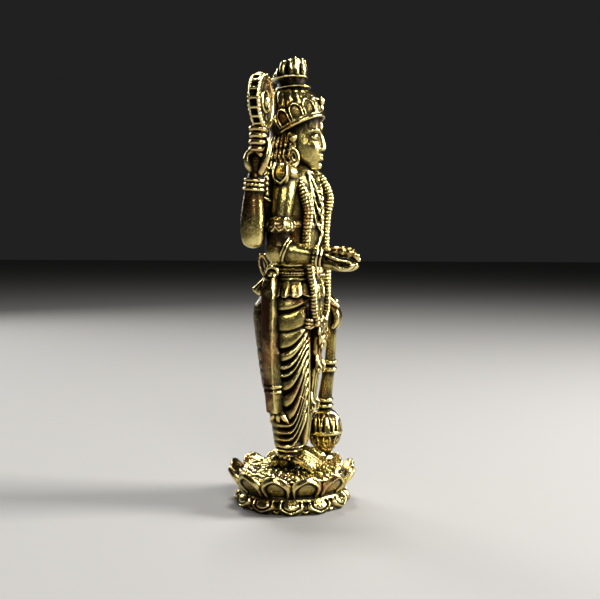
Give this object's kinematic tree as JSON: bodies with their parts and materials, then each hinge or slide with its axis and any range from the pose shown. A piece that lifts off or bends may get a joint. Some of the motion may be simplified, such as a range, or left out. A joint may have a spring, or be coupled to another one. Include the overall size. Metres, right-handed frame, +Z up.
{
  "type": "vishnu figure",
  "caption": "Small cast brass idol: standing four-armed figure in a tall crown on a round double-lotus plinth.",
  "frame": {"origin": "centre of the flat underside of the plinth", "axes": "+Z up; the figure faces -Y, so its right side is at -X"},
  "size_m": [0.032, 0.0285, 0.0896],
  "materials": {
    "brass": "antique brass, polished on the high spots and dark in the recesses"
  },
  "bodies": {
    "root": {"vishnu_figure": "brass"}
  },
  "joints": []
}
